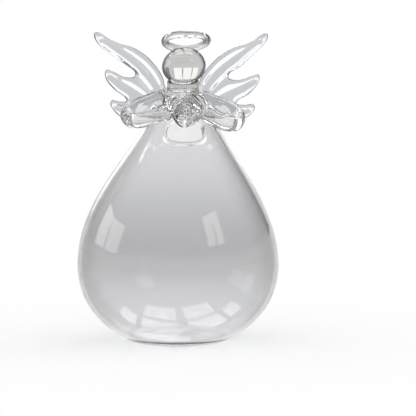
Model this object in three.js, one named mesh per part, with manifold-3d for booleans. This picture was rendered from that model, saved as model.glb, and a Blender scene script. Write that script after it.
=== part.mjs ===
// Hanging glass vase in the form of a little winged figure.
// A teardrop bulb is blown from clear glass, with a fire-polished mouth in the front of its cone for
// stems. A neck, a ball head, a halo ring to hang it by, two bent arms, two pressed wings and a rose
// of separate petals are flame-fused to its top, one piece after another.
// Millimetres, +Z up. The figure faces -Y. The origin is the centre of the flat foot.

import * as THREE from 'three';
import { mergeVertices } from 'three/addons/utils/BufferGeometryUtils.js';
import Module from 'manifold-3d';

const wasm = await Module();
wasm.setup();

// Bulb
const bulbRadius = 38.2;
const widestHeight = 29.5;
const footRadius = 11;
const footBlend = 1; // height over which the foot turns up into the bulb
const footTilt = 0.12; // outward part of the direction that the foot's edge faces
const lowerDepth = 32.25; // half-axis of the superellipse below the widest circle
const lowerPower = 2.05;
const shoulderHeight = 95;
const shoulderRadius = 6.9;
const shoulderSlope = 0.46; // radius lost per millimetre of height at the shoulder
const shoulderPull = 24; // height over which the curve keeps close to that slope
const upperFullness = 25; // height over which the wall stays near upright above its widest circle
const wall = 1.4;
const floorThickness = 2.4;
const floorCorner = 1.5; // width of the hollow's bottom edge
const crownThickness = 3.2; // solid glass between the hollow and the shoulder
const domeHeight = 2; // of the round top of the hollow

// Mouth, a square-shouldered oval hole in the front of the cone, with a bead of melted glass round it
const mouthDrop = 14.8; // mouth centre, below the shoulder
const mouthClearWidth = 13.1;
const mouthClearHeight = 9.4; // measured along the slope
const mouthPower = 2.4;
const lipRadius = 0.75;

// Neck and head
const neckLength = 5.1;
const neckWaistHeight = 3.1; // above the shoulder
const neckWaistRadius = 5.3;
const neckHollow = 0.4; // how far the collar draws in below its waist
const neckTopRadius = 6.2;
const headRadius = 8.3;
const headHalfHeight = 7.2;

// Halo, a ring of rod fused to the back of the head and tipped up in front
const haloRadius = 7.7;
const haloRodRadius = 1.4;
const haloTilt = 18; // degrees
const haloSeatAngle = 31; // degrees from the top of the head, towards the back
const haloLift = 0.5; // rod centre above the surface of the head

// Arms, each one rod bent at the elbow. They are bent by hand, so one elbow hangs lower.
const arms = [
  { name: 'right', side: 1, elbowDrop: 9.4 },
  { name: 'left', side: -1, elbowDrop: 8.6 },
];
const upperArmRadius = 3.1;
const forearmRadius = 2.6;
const wristRadius = 1.9;
const elbowReach = 20.2; // from the middle to the rod's centre
const elbowForward = 9.6;
const armRootForward = 1.2;

// Rose, held in both hands in front of the chest
const roseDrop = 7.2;
const roseStandOff = 8.0; // from the cone's front to the plane that the petals stand on
const roseStemRadius = 2.1;
const roseStemRise = 2.2; // the stem meets the chest above the middle of the rose
const calyxRadius = 5.8;
const calyxDepth = 3.0;
const budRadius = 1.35;
const budLength = 5.0;
const budOffset = [-1.9, -1.0]; // from the middle of the rose, sideways and up
const budDimple = 0.9; // depth of the hollow in the bud's tip
const petalThickness = 0.6;
const petalCornerDrop = 0.3; // share of its height that a petal's rim falls to its ends
const roseTurn = -11; // degrees about the vertical: the rose looks a little to its right

// Petals, wound round the bud. Angles in degrees, counterclockwise as seen from the front with 0 towards
// +X. rim has the distances from the bud at the start, middle and end of the arc. opening is the share
// of them that the petal gains between its foot and its rim, and root the extra glass inside its foot.
const petals = [
  { from: 20, to: 190, rim: [2.15, 2.2, 2.15], opening: 0.12, height: 4.3, root: 0 },
  { from: 202, to: 368, rim: [2.15, 2.2, 2.15], opening: 0.12, height: 4.1, root: 0 },
  { from: -62, to: 70, rim: [3.3, 3.3, 3.2], opening: 0.08, height: 3.8, root: 0 },
  { from: 0, to: 67, rim: [7.3, 4.8, 4.2], opening: 0.12, height: 3.7, root: 0.3 },
  { from: 4, to: 80, rim: [9.5, 10.2, 7.2], opening: 0.2, height: 3.1, root: 2.8 },
  { from: 86, to: 164, rim: [6.6, 7.6, 4.5], opening: 0.2, height: 3.2, root: 2.8 },
  { from: 173, to: 279, rim: [4.1, 3.5, 5.4], opening: 0.16, height: 3.0, root: 0.2 },
  { from: 287, to: 353, rim: [5.6, 5.8, 7.6], opening: 0.18, height: 3.1, root: 0.6 },
];

// Wings, pressed from flat glass and fused behind the shoulders
const wingThickness = 2.6;
const wingEdgeRound = 0.8; // over the thickness
const wingEdgeInset = 0.64; // across the face
const wingBack = 5.0; // from the axis back to the middle of the wing
const grooveRadius = 1.3;
const grooveDepth = 0.5;

// Hand-made lean: the cone and all above it drift to +X
const leanSlope = 0.045;
const leanStart = 45;
const leanBlend = 20;

const seam = 0.3; // gap at every fused joint
const handClearance = 3; // the arms are cut clear of the rose as far as this in front of its plane
const weld = 1e-4; // points closer than this are one

const glass = {
  blown: new THREE.MeshStandardMaterial({
    color: 0xeaf0ef, roughness: 0.04, metalness: 0, transparent: true, opacity: 0.3,
  }),
  solid: new THREE.MeshStandardMaterial({
    color: 0xe6ecea, roughness: 0.03, metalness: 0, transparent: true, opacity: 0.45,
  }),
  pressed: new THREE.MeshStandardMaterial({
    color: 0xedf0f3, roughness: 0.08, metalness: 0, transparent: true, opacity: 0.4,
  }),
};

const radians = THREE.MathUtils.degToRad;

// Turns a closed geometry into a solid. Its faces are made to point out.
function solidOf(geometry) {
  const bare = geometry.clone();
  bare.deleteAttribute('normal');
  bare.deleteAttribute('uv');
  const merged = mergeVertices(bare, weld);
  const position = merged.getAttribute('position');
  const index = merged.getIndex().array;
  const triVerts = [];
  let volume = 0;
  const corner = [new THREE.Vector3(), new THREE.Vector3(), new THREE.Vector3()];
  for (let i = 0; i < index.length; i += 3) {
    const [a, b, c] = [index[i], index[i + 1], index[i + 2]];
    if (a === b || b === c || c === a) continue;
    triVerts.push(a, b, c);
    corner[0].fromBufferAttribute(position, a);
    corner[1].fromBufferAttribute(position, b);
    corner[2].fromBufferAttribute(position, c);
    volume += corner[0].dot(corner[1].cross(corner[2])) / 6;
  }
  if (volume < 0) {
    triVerts.reverse();
  }
  return new wasm.Manifold(new wasm.Mesh({
    numProp: 3,
    vertProperties: new Float32Array(position.array),
    triVerts: new Uint32Array(triVerts),
  }));
}

// Turns a solid back into a geometry, with the hand-made lean.
function leaned(solid) {
  const mesh = solid.getMesh();
  const points = new Float32Array(mesh.vertProperties);
  for (let i = 0; i < points.length; i += 3) {
    points[i] += leanAt(points[i + 2]);
  }
  const geometry = new THREE.BufferGeometry();
  geometry.setAttribute('position', new THREE.BufferAttribute(points, 3));
  geometry.setIndex(new THREE.BufferAttribute(new Uint32Array(mesh.triVerts), 1));
  geometry.computeVertexNormals();
  return geometry;
}

// Sideways drift at a height: none below leanStart, a parabola over leanBlend, then a straight slope.
function leanAt(z) {
  const above = z - leanStart;
  if (above <= 0) return 0;
  if (above < leanBlend) return (leanSlope * above * above) / (2 * leanBlend);
  return leanSlope * (above - leanBlend / 2);
}

// Points of the bulb's outline from the foot's edge to the shoulder, each with its outward normal.
// Below the widest circle it is a superellipse above a flat foot, and above it one cubic curve.
function bulbOutline(lowerSteps, upperSteps) {
  const outline = [{ r: footRadius, z: 0, normal: new THREE.Vector2(footTilt, -1).normalize() }];
  const lowest = Math.asin(((widestHeight - footBlend) / lowerDepth) ** (lowerPower / 2));
  for (let i = 0; i < lowerSteps; i += 1) {
    const angle = lowest * (1 - i / lowerSteps);
    const out = Math.cos(angle) ** (2 / lowerPower);
    const down = Math.sin(angle) ** (2 / lowerPower);
    const normal = new THREE.Vector2(
      out ** (lowerPower - 1) / bulbRadius,
      -(down ** (lowerPower - 1)) / lowerDepth,
    );
    outline.push({
      r: bulbRadius * out,
      z: widestHeight - lowerDepth * down,
      normal: normal.normalize(),
    });
  }
  const upper = new THREE.CubicBezierCurve(
    new THREE.Vector2(bulbRadius, widestHeight),
    new THREE.Vector2(bulbRadius, widestHeight + upperFullness),
    new THREE.Vector2(shoulderRadius + shoulderSlope * shoulderPull, shoulderHeight - shoulderPull),
    new THREE.Vector2(shoulderRadius, shoulderHeight),
  );
  for (let i = 0; i <= upperSteps; i += 1) {
    const point = upper.getPoint(i / upperSteps);
    const along = upper.getTangent(i / upperSteps);
    outline.push({ r: point.x, z: point.y, normal: new THREE.Vector2(along.y, -along.x) });
  }
  return outline;
}

const fineOutline = bulbOutline(60, 240);

// Outer radius of the bulb at a height between the foot and the shoulder.
function radiusAt(z) {
  const next = fineOutline.findIndex((point) => point.z >= z);
  if (next < 0) return shoulderRadius;
  if (next === 0) return footRadius;
  const [low, high] = [fineOutline[next - 1], fineOutline[next]];
  return low.r + ((high.r - low.r) * (z - low.z)) / (high.z - low.z);
}

// A turned solid from half-profile points [radius, height] that start and end on the axis.
function turned(profile, segments) {
  const points = profile.map(([r, z]) => new THREE.Vector2(r, z));
  return solidOf(new THREE.LatheGeometry(points, segments).rotateX(Math.PI / 2));
}

// The bulb's outside grown by a margin, as a solid.
function bulbSolid(grow, lowerSteps, upperSteps, segments) {
  const outline = bulbOutline(lowerSteps, upperSteps);
  const side = outline.map(({ r, z, normal }) => [
    Math.max(0.2, r + grow * normal.x),
    z + grow * normal.y,
  ]);
  const lowest = -grow;
  const highest = shoulderHeight + grow;
  return turned([[0, lowest], ...side, [side.at(-1)[0], highest], [0, highest]], segments);
}

// The hollow: the outline moved in by the wall, cut off by a flat floor and closed by a dome.
function hollowSolid(lowerSteps, upperSteps, segments) {
  const crown = shoulderHeight - crownThickness;
  const side = bulbOutline(lowerSteps, upperSteps)
    .map(({ r, z, normal }) => [r - wall * normal.x, z - wall * normal.y])
    .filter(([, z]) => z > floorThickness + floorCorner / 4 && z < crown - domeHeight);
  const [floorRadius] = side[0];
  const [domeRadius, domeFoot] = side.at(-1);
  const dome = [];
  for (let step = 1; step <= 3; step += 1) {
    const angle = (step / 4) * (Math.PI / 2);
    dome.push([domeRadius * Math.cos(angle), domeFoot + (crown - domeFoot) * Math.sin(angle)]);
  }
  return turned(
    [[0, floorThickness], [floorRadius - floorCorner, floorThickness], ...side, ...dome, [0, crown]],
    segments,
  );
}

// Frame of the mouth: its centre on the middle of the wall, and its directions.
function mouthFrame() {
  const height = shoulderHeight - mouthDrop;
  const step = 0.5;
  const slope = (radiusAt(height - step) - radiusAt(height + step)) / (2 * step);
  const lift = Math.atan(slope);
  const middle = radiusAt(height) - wall / 2;
  return {
    centre: new THREE.Vector3(0, -middle, height),
    across: new THREE.Vector3(1, 0, 0),
    up: new THREE.Vector3(0, Math.sin(lift), Math.cos(lift)),
    out: new THREE.Vector3(0, -Math.cos(lift), Math.sin(lift)),
  };
}

// The point on the middle of the wall that lies behind (u, v) of the mouth's plane.
function wallPoint(frame, u, v) {
  const start = frame.centre.clone()
    .addScaledVector(frame.across, u)
    .addScaledVector(frame.up, v);
  let inside = -bulbRadius / 3;
  let outside = bulbRadius / 6;
  for (let i = 0; i < 40; i += 1) {
    const s = (inside + outside) / 2;
    const point = start.clone().addScaledVector(frame.out, s);
    if (Math.hypot(point.x, point.y) > radiusAt(point.z) - wall / 2) outside = s;
    else inside = s;
  }
  return start.addScaledVector(frame.out, inside);
}

// A tube round a closed loop of points.
function ringTube(path, radius, sides) {
  const curve = new THREE.CatmullRomCurve3(path, true);
  const steps = path.length;
  const frames = curve.computeFrenetFrames(steps, true);
  const points = [];
  for (let i = 0; i < steps; i += 1) {
    const centre = curve.getPointAt(i / steps);
    for (let j = 0; j < sides; j += 1) {
      const angle = (j / sides) * 2 * Math.PI;
      points.push(centre.clone()
        .addScaledVector(frames.normals[i], radius * Math.cos(angle))
        .addScaledVector(frames.binormals[i], radius * Math.sin(angle)));
    }
  }
  const index = [];
  for (let i = 0; i < steps; i += 1) {
    for (let j = 0; j < sides; j += 1) {
      const a = i * sides + j;
      const b = i * sides + ((j + 1) % sides);
      const c = ((i + 1) % steps) * sides + j;
      const d = ((i + 1) % steps) * sides + ((j + 1) % sides);
      index.push(a, c, b, b, c, d);
    }
  }
  return solidOf(geometryFrom(points, index));
}

function geometryFrom(points, index) {
  const geometry = new THREE.BufferGeometry().setFromPoints(points);
  geometry.setIndex(index);
  return geometry;
}

// A rod along a curve, with a radius for each share of its length and domed ends.
function rod(curve, radiusOf, steps, sides) {
  const length = curve.getLength();
  const frames = curve.computeFrenetFrames(steps, false);
  const points = [curve.getPointAt(0)];
  for (let i = 1; i < steps; i += 1) {
    const share = i / steps;
    const centre = curve.getPointAt(share);
    const full = radiusOf(share);
    const fromEnd = Math.min(share, 1 - share) * length;
    const radius = fromEnd < full ? Math.sqrt(full ** 2 - (full - fromEnd) ** 2) : full;
    for (let j = 0; j < sides; j += 1) {
      const angle = (j / sides) * 2 * Math.PI;
      points.push(centre.clone()
        .addScaledVector(frames.normals[i], radius * Math.cos(angle))
        .addScaledVector(frames.binormals[i], radius * Math.sin(angle)));
    }
  }
  points.push(curve.getPointAt(1));
  const last = points.length - 1;
  const index = [];
  for (let j = 0; j < sides; j += 1) {
    const next = (j + 1) % sides;
    index.push(0, 1 + j, 1 + next);
    const lastRing = 1 + (steps - 2) * sides;
    index.push(last, lastRing + next, lastRing + j);
    for (let i = 0; i < steps - 2; i += 1) {
      const a = 1 + i * sides;
      const b = a + sides;
      index.push(a + j, b + j, a + next, a + next, b + j, b + next);
    }
  }
  return solidOf(geometryFrom(points, index));
}

// A point of the square-shouldered oval of the mouth, at an angle.
function mouthOval(angle, margin) {
  const [c, d] = [Math.cos(angle), Math.sin(angle)];
  return new THREE.Vector2(
    (mouthClearWidth / 2 + margin) * Math.sign(c) * Math.abs(c) ** (2 / mouthPower),
    (mouthClearHeight / 2 + margin) * Math.sign(d) * Math.abs(d) ** (2 / mouthPower),
  );
}

function turnsOf(steps) {
  return Array.from({ length: steps }, (_, i) => (i / steps) * 2 * Math.PI);
}

function mouthCutter() {
  const frame = mouthFrame();
  const oval = new THREE.Shape(turnsOf(36).map((angle) => mouthOval(angle, lipRadius)));
  const reach = bulbRadius / 4;
  const cutter = new THREE.ExtrudeGeometry(oval, { depth: 2 * reach, bevelEnabled: false });
  cutter.translate(0, 0, -reach);
  cutter.applyMatrix4(new THREE.Matrix4()
    .makeBasis(frame.across, frame.up, frame.out)
    .setPosition(frame.centre));
  return solidOf(cutter);
}

// The bead of melted glass on the edge of the mouth, grown by a margin.
function mouthLip(grow) {
  const frame = mouthFrame();
  const edge = turnsOf(36).map((angle) => {
    const { x, y } = mouthOval(angle, lipRadius);
    return wallPoint(frame, x, y);
  });
  return ringTube(edge, lipRadius + grow, 8);
}

// Blown bulb
function vaseBody() {
  const segments = 48;
  const shell = bulbSolid(0, 11, 13, segments).subtract(hollowSolid(10, 12, segments));
  return shell.subtract(mouthCutter()).add(mouthLip(0));
}

// Head: a solid ball, a little flatter than round
const headCentreHeight = shoulderHeight + neckLength
  + headHalfHeight * Math.sqrt(1 - (neckTopRadius / headRadius) ** 2);

function headSolid(grow, across, down) {
  const ball = new THREE.SphereGeometry(1, across, down).rotateX(Math.PI / 2);
  ball.scale(headRadius + grow, headRadius + grow, headHalfHeight + grow);
  ball.translate(0, 0, headCentreHeight);
  return solidOf(ball);
}

// Neck: a waisted collar that spreads onto the shoulder and the head
function neckSolid(grow, segments) {
  const foot = shoulderHeight + seam;
  const waistHeight = shoulderHeight + neckWaistHeight;
  const top = shoulderHeight + neckLength;
  const curve = new THREE.QuadraticBezierCurve(
    new THREE.Vector2(shoulderRadius, foot),
    new THREE.Vector2(neckWaistRadius - neckHollow, (foot + waistHeight) / 2),
    new THREE.Vector2(neckWaistRadius, waistHeight),
  );
  const flare = new THREE.QuadraticBezierCurve(
    new THREE.Vector2(neckWaistRadius, waistHeight),
    new THREE.Vector2(neckWaistRadius, (waistHeight + 2 * top) / 3),
    new THREE.Vector2(neckTopRadius, top),
  );
  const side = [...curve.getPoints(6), ...flare.getPoints(4).slice(1)]
    .map(({ x, y }) => [x + grow, y]);
  return turned([[0, foot - grow], [side[0][0], foot - grow], ...side, [0, top]], segments);
}

function neckCollar() {
  return neckSolid(0, 28).subtract(headSolid(seam, 28, 18));
}

// Halo
function haloRing() {
  const ring = new THREE.TorusGeometry(haloRadius, haloRodRadius, 10, 40);
  ring.rotateX(-radians(haloTilt));
  const seat = radians(haloSeatAngle);
  const seatBack = (headRadius + haloLift) * Math.sin(seat);
  const seatHeight = headCentreHeight + (headHalfHeight + haloLift) * Math.cos(seat);
  ring.translate(
    0,
    seatBack - haloRadius * Math.cos(radians(haloTilt)),
    seatHeight + haloRadius * Math.sin(radians(haloTilt)),
  );
  return solidOf(ring).subtract(headSolid(seam, 32, 20));
}

// Rose frame: the petals stand on its plane, with the third axis towards the viewer.
const roseHeight = shoulderHeight - roseDrop;
const roseFront = radiusAt(roseHeight) + roseStandOff;

function intoRose(geometry) {
  geometry.rotateX(Math.PI / 2);
  geometry.rotateZ(radians(roseTurn));
  geometry.translate(0, -roseFront, roseHeight);
  return geometry;
}

// A turned piece of the rose, with its axis towards the viewer at a place on the plane.
function roseTurned(profile, segments, [across, up] = [0, 0]) {
  const points = profile.map(([r, w]) => new THREE.Vector2(r, w));
  const geometry = new THREE.LatheGeometry(points, segments).rotateX(Math.PI / 2);
  return solidOf(intoRose(geometry.translate(across, up, 0)));
}

// The gather of glass that the petals are fused to, cup-shaped behind. front is the height of its face.
function calyxCup(grow, front) {
  return roseTurned([
    [0, -calyxDepth - grow],
    [calyxRadius * 0.5 + grow, -calyxDepth - grow],
    [calyxRadius * 0.86 + grow, -calyxDepth * 0.6 - grow / 2],
    [calyxRadius + grow, -calyxDepth * 0.2],
    [calyxRadius + grow, front],
    [0, front],
  ], 28);
}

function roseStem(grow) {
  const start = new THREE.Vector3(0, -roseFront + calyxDepth * 0.6, roseHeight);
  const end = new THREE.Vector3(0, -shoulderRadius * 0.6, roseHeight + roseStemRise);
  return rod(new THREE.LineCurve3(start, end), () => roseStemRadius + grow, 12, 16);
}

function roseBud() {
  const steps = 8;
  const profile = [[0, 0]];
  for (let i = 0; i <= steps; i += 1) {
    const share = i / steps;
    const swell = 0.85 + 0.15 * Math.sin(Math.PI * share);
    profile.push([budRadius * swell, share * (budLength - budDimple / 2)]);
  }
  profile.push([budRadius * 0.5, budLength]);
  profile.push([budRadius * 0.22, budLength - budDimple]);
  profile.push([0, budLength - budDimple]);
  return roseTurned(profile, 20, budOffset);
}

// One petal: a curved plate that stands on the calyx and opens outwards.
function rosePetal({ from, to, rim, opening, height, root }) {
  const [start, middle, end] = rim;
  const across = Math.max(6, Math.round((to - from) / 13));
  const along = 4;
  const sheets = [-0.5, 0.5].map((side) => {
    const rows = [];
    for (let i = 0; i <= along; i += 1) {
      const share = i / along;
      const row = [];
      for (let j = 0; j <= across; j += 1) {
        const s = j / across;
        const angle = radians(from + (to - from) * s);
        const rimRadius = start * (1 - s) * (1 - 2 * s) + 4 * middle * s * (1 - s) + end * s * (2 * s - 1);
        const inward = side < 0 ? root * 4 * s * (1 - s) * (1 - share) : 0;
        const radius = rimRadius * (1 - opening * (1 - share ** 1.6)) + side * petalThickness - inward;
        row.push(new THREE.Vector3(
          budOffset[0] + radius * Math.cos(angle),
          budOffset[1] + radius * Math.sin(angle),
          height * share * (1 - petalCornerDrop * (2 * s - 1) ** 4),
        ));
      }
      rows.push(row);
    }
    return rows;
  });
  return solidOf(intoRose(plate(sheets[0], sheets[1])));
}

// A closed plate between two grids of points of the same size.
function plate(inner, outer) {
  const rows = inner.length;
  const columns = inner[0].length;
  const points = [...inner.flat(), ...outer.flat()];
  const at = (side, i, j) => side * rows * columns + i * columns + j;
  const index = [];
  const quad = (a, b, c, d) => index.push(a, b, c, a, c, d);
  for (let i = 0; i < rows - 1; i += 1) {
    for (let j = 0; j < columns - 1; j += 1) {
      quad(at(0, i, j), at(0, i + 1, j), at(0, i + 1, j + 1), at(0, i, j + 1));
      quad(at(1, i, j), at(1, i, j + 1), at(1, i + 1, j + 1), at(1, i + 1, j));
    }
  }
  for (let i = 0; i < rows - 1; i += 1) {
    const last = columns - 1;
    quad(at(0, i, 0), at(1, i, 0), at(1, i + 1, 0), at(0, i + 1, 0));
    quad(at(0, i + 1, last), at(1, i + 1, last), at(1, i, last), at(0, i, last));
  }
  for (let j = 0; j < columns - 1; j += 1) {
    const last = rows - 1;
    quad(at(0, 0, j + 1), at(1, 0, j + 1), at(1, 0, j), at(0, 0, j));
    quad(at(0, last, j), at(1, last, j), at(1, last, j + 1), at(0, last, j + 1));
  }
  return geometryFrom(points, index);
}

// Arm: one rod from the shoulder, out and forward to the elbow, and back in to the rose.
function armSolid({ side, elbowDrop }, neighbours) {
  const handReach = calyxRadius * 0.9;
  const handForward = roseFront - calyxDepth * 0.6;
  const handHeight = roseHeight - calyxRadius * 0.2;
  const elbowHeight = shoulderHeight - elbowDrop;
  const sag = forearmRadius * 0.6; // the forearm's middle below the elbow's
  const route = [
    [shoulderRadius * 0.5, armRootForward, shoulderHeight - elbowDrop * 0.16],
    [elbowReach * 0.44, elbowForward * 0.28, shoulderHeight - elbowDrop * 0.31],
    [elbowReach * 0.7, elbowForward * 0.5, shoulderHeight - elbowDrop * 0.52],
    [elbowReach * 0.925, elbowForward * 0.76, shoulderHeight - elbowDrop * 0.78],
    [elbowReach, elbowForward, elbowHeight],
    [elbowReach * 0.94, elbowForward * 1.3, elbowHeight - sag],
    [elbowReach * 0.74, elbowForward * 0.45 + handForward * 0.65, elbowHeight - sag],
    [elbowReach * 0.33 + handReach * 0.6, handForward * 0.96, (elbowHeight - sag + handHeight) / 2],
    [handReach, handForward, handHeight],
  ].map(([x, forward, z]) => new THREE.Vector3(side * x, -forward, z));
  const curve = new THREE.CatmullRomCurve3(route, false, 'centripetal');
  const { smoothstep } = THREE.MathUtils;
  const radiusOf = (share) => upperArmRadius
    + (forearmRadius - upperArmRadius) * smoothstep(share, 0.45, 0.65)
    + (wristRadius - forearmRadius) * smoothstep(share, 0.7, 1);
  const arm = rod(curve, radiusOf, 28, 12);
  return neighbours.reduce((left, other) => left.subtract(other), arm);
}

// Outline of the wing at +X, as [out from the axis, above the shoulder], from the root over the tips
// of the three feathers.
const wingOutline = [
  [3.0, 0.4], [6.0, 1.9], [7.1, 5.2], [8.7, 8.1], [10.7, 10.6], [13.4, 13.4], [16.5, 15.6], [20.0, 17.3],
  [24.0, 18.4], [28.0, 20.0], [32.2, 22.5], [34.0, 22.5], [34.0, 20.6], [31.3, 17.0], [26.2, 13.4],
  [21.2, 10.1], [18.1, 7.6], [18.2, 6.0], [22.0, 5.9], [26.5, 7.9], [28.8, 8.6], [29.5, 7.2], [28.5, 4.2],
  [25.4, 0.9], [21.4, -2.0], [20.8, -3.3], [23.6, -3.4], [26.2, -2.9], [26.9, -4.4], [25.2, -7.3],
  [21.5, -10.0], [16.0, -11.0], [10.5, -9.5], [6.0, -5.6],
];

// Grooves pressed along the feathers, each a bend through three points in the same measure.
const wingGrooves = [
  [[9.0, 2.6], [13.2, 12.2], [28.6, 18.4]],
  [[12.0, 1.0], [17.6, 9.6], [29.4, 17.0]],
  [[12.6, -2.6], [19.6, 2.6], [26.8, 6.6]],
  [[13.0, -6.4], [18.4, -6.6], [24.4, -5.0]],
];

// Wing: the outline pressed to a plate with rounded edges, cut to lie along the cone and the neck.
function wingSolid(side, neighbours) {
  const place = ([out, up]) => new THREE.Vector2(side * out, shoulderHeight + up);
  const points = wingOutline.map(place);
  const outline = new THREE.SplineCurve([...points, points[0]]).getPoints(2 * points.length).slice(0, -1);
  const blade = new THREE.ExtrudeGeometry(new THREE.Shape(outline), {
    depth: wingThickness - 2 * wingEdgeRound,
    bevelThickness: wingEdgeRound,
    bevelSize: wingEdgeInset,
    bevelOffset: -wingEdgeInset,
    bevelSegments: 2,
  });
  blade.translate(0, 0, -wingThickness / 2 + wingEdgeRound);
  blade.rotateX(Math.PI / 2);
  blade.translate(0, wingBack, 0);
  const cutters = [...neighbours];
  for (const face of [-1, 1]) {
    const y = wingBack + face * (wingThickness / 2 + grooveRadius - grooveDepth);
    for (const bend of wingGrooves) {
      const [start, middle, end] = bend.map(place).map(({ x, y: z }) => new THREE.Vector3(x, y, z));
      const path = new THREE.QuadraticBezierCurve3(start, middle, end);
      cutters.push(rod(path, () => grooveRadius, 9, 8));
    }
  }
  return cutters.reduce((left, other) => left.subtract(other), solidOf(blade));
}

const vase = new THREE.Group();

function add(name, solid, material) {
  const mesh = new THREE.Mesh(leaned(solid), material);
  mesh.name = name;
  vase.add(mesh);
}

const bulbSeat = bulbSolid(seam, 6, 16, 40);
const lipSeat = mouthLip(seam);
const neckSeat = neckSolid(seam, 32);
const roseSeat = calyxCup(seam, handClearance).add(roseStem(seam));

add('vase_body', vaseBody(), glass.blown);
add('neck_collar', neckCollar(), glass.solid);
add('head_ball', headSolid(0, 28, 16), glass.solid);
add('halo_ring', haloRing(), glass.solid);
for (const arm of arms) {
  add(`arm_${arm.name}`, armSolid(arm, [bulbSeat, neckSeat, lipSeat, roseSeat]), glass.solid);
  add(`wing_${arm.name}`, wingSolid(arm.side, [bulbSeat, neckSeat]), glass.pressed);
}
const calyx = calyxCup(0, -seam).add(roseStem(0));
add('rose_calyx', calyx.subtract(bulbSeat).subtract(lipSeat), glass.solid);
add('rose_bud', roseBud(), glass.solid);
petals.forEach((petal, i) => add(`rose_petal_${i + 1}`, rosePetal(petal), glass.solid));

export default vase;
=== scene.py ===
"""Hanging glass vase in the form of a little winged figure, with the finish of every piece.

Sizes are in millimetres, as on the solid model, and to_metres brings them into the frame.
+Z is up, the figure faces -Y, and the origin is the centre of the flat foot.
"""

import math

import bmesh
import bpy
import numpy as np
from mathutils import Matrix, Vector
from mathutils.bvhtree import BVHTree
from mathutils.kdtree import KDTree


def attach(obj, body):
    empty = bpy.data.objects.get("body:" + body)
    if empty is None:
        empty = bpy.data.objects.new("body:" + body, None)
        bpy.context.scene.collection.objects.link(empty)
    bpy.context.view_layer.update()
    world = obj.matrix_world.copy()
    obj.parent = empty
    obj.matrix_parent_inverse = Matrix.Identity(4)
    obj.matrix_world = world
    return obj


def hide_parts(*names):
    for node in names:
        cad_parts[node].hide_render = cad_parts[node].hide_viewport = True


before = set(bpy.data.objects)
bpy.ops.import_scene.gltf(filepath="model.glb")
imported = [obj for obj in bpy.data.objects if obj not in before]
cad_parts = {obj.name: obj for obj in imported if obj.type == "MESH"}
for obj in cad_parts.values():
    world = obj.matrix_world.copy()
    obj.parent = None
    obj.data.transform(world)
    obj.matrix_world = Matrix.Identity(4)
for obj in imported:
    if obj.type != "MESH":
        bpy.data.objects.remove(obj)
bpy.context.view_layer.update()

# Bulb
BULB_RADIUS = 38.2
WIDEST_HEIGHT = 29.5
FOOT_RADIUS = 11.0
FOOT_BLEND = 1.0
LOWER_DEPTH = 32.25
LOWER_POWER = 2.05
SHOULDER_HEIGHT = 95.0
SHOULDER_RADIUS = 6.9
SHOULDER_SLOPE = 0.46
SHOULDER_PULL = 24.0
UPPER_FULLNESS = 25.0
WALL = 1.4
FLOOR_THICKNESS = 2.4
CROWN_THICKNESS = 3.2
DOME_HEIGHT = 2.0
PUNT_HEIGHT = 0.05  # how far the underside of the foot is drawn in
JOINT_DOME = 2.0  # how far the bulb's top rises inside the neck
DOME_RADII = SHOULDER_RADIUS * np.array((0, 0.12, 0.3, 0.5, 0.7, 0.85, 0.97))  # of that dome's rows

# Mouth
MOUTH_DROP = 14.8
MOUTH_CLEAR_WIDTH = 13.1
MOUTH_CLEAR_HEIGHT = 9.4
MOUTH_POWER = 2.4
LIP_RADIUS = 0.9
WINDOW_HEIGHTS = (71.5, 89.5)  # of the part of the wall that is remade around the mouth
WINDOW_HALF_SHARE = 52 / 360  # of the turn, to either side of the front

# Neck and head
NECK_LENGTH = 5.1
NECK_TOP_RADIUS = 6.2  # where the head would sink into the neck if it had no cup
NECK_CUP_RADIUS = 5.7  # of the rim around the head
NECK_SEAT_RADIUS = 1.4  # of the ring in which the head rests on the neck
NECK_WAIST = (5.7, 0.6)  # a point that its side bends towards: radius, and height over the shoulder
NECK_FLARE = ((5.6, 1.2), (6.6, 0.4))  # the next two: radius, and depth under the rim
HEAD_GAP = 0.25  # between the head and the cup
HEAD_GAP_START = 1.2  # width of the ring over which the gap opens
HEAD_RADIUS = 8.3
HEAD_HALF_HEIGHT = 7.2
HEAD_HEIGHT = (SHOULDER_HEIGHT + NECK_LENGTH
               + HEAD_HALF_HEIGHT * math.sqrt(1 - (NECK_TOP_RADIUS / HEAD_RADIUS) ** 2))

# Halo
HALO_RADIUS = 7.7
HALO_ROD_RADIUS = 1.38
HALO_ROD_WIDTH = 1.6  # half of it, in the ring's plane
HALO_TILT = math.radians(18)
HALO_SEAT_ANGLE = math.radians(31)
HALO_LIFT = 0.4
HALO_MELT = 0.5  # extra glass where the ring is melted to the head
HALO_MELT_ARC = 0.42  # radians along the ring to either side of that place
HALO_CORNERS = (0.9, -0.54)  # how far its corners stand out, in front and at the back
HALO_FLAT = 0.35  # how far the middle of its front is drawn in

# Rose
ROSE_HEIGHT = SHOULDER_HEIGHT - 7.2
ROSE_STAND_OFF = 8.0
ROSE_STEM_RADIUS = 2.1
ROSE_STEM_RISE = 2.2
CALYX_RADIUS = 5.8
CALYX_DEPTH = 3.0
BUD_RADIUS = 1.35
BUD_LENGTH = 5.0
BUD_DIMPLE = 3.2
BUD_OFFSET = (-1.9, -1.0)
PETAL_THICKNESS = 1.25
PETAL_CORNER_DROP = 0.3
ROSE_TURN = math.radians(-11)
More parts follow.
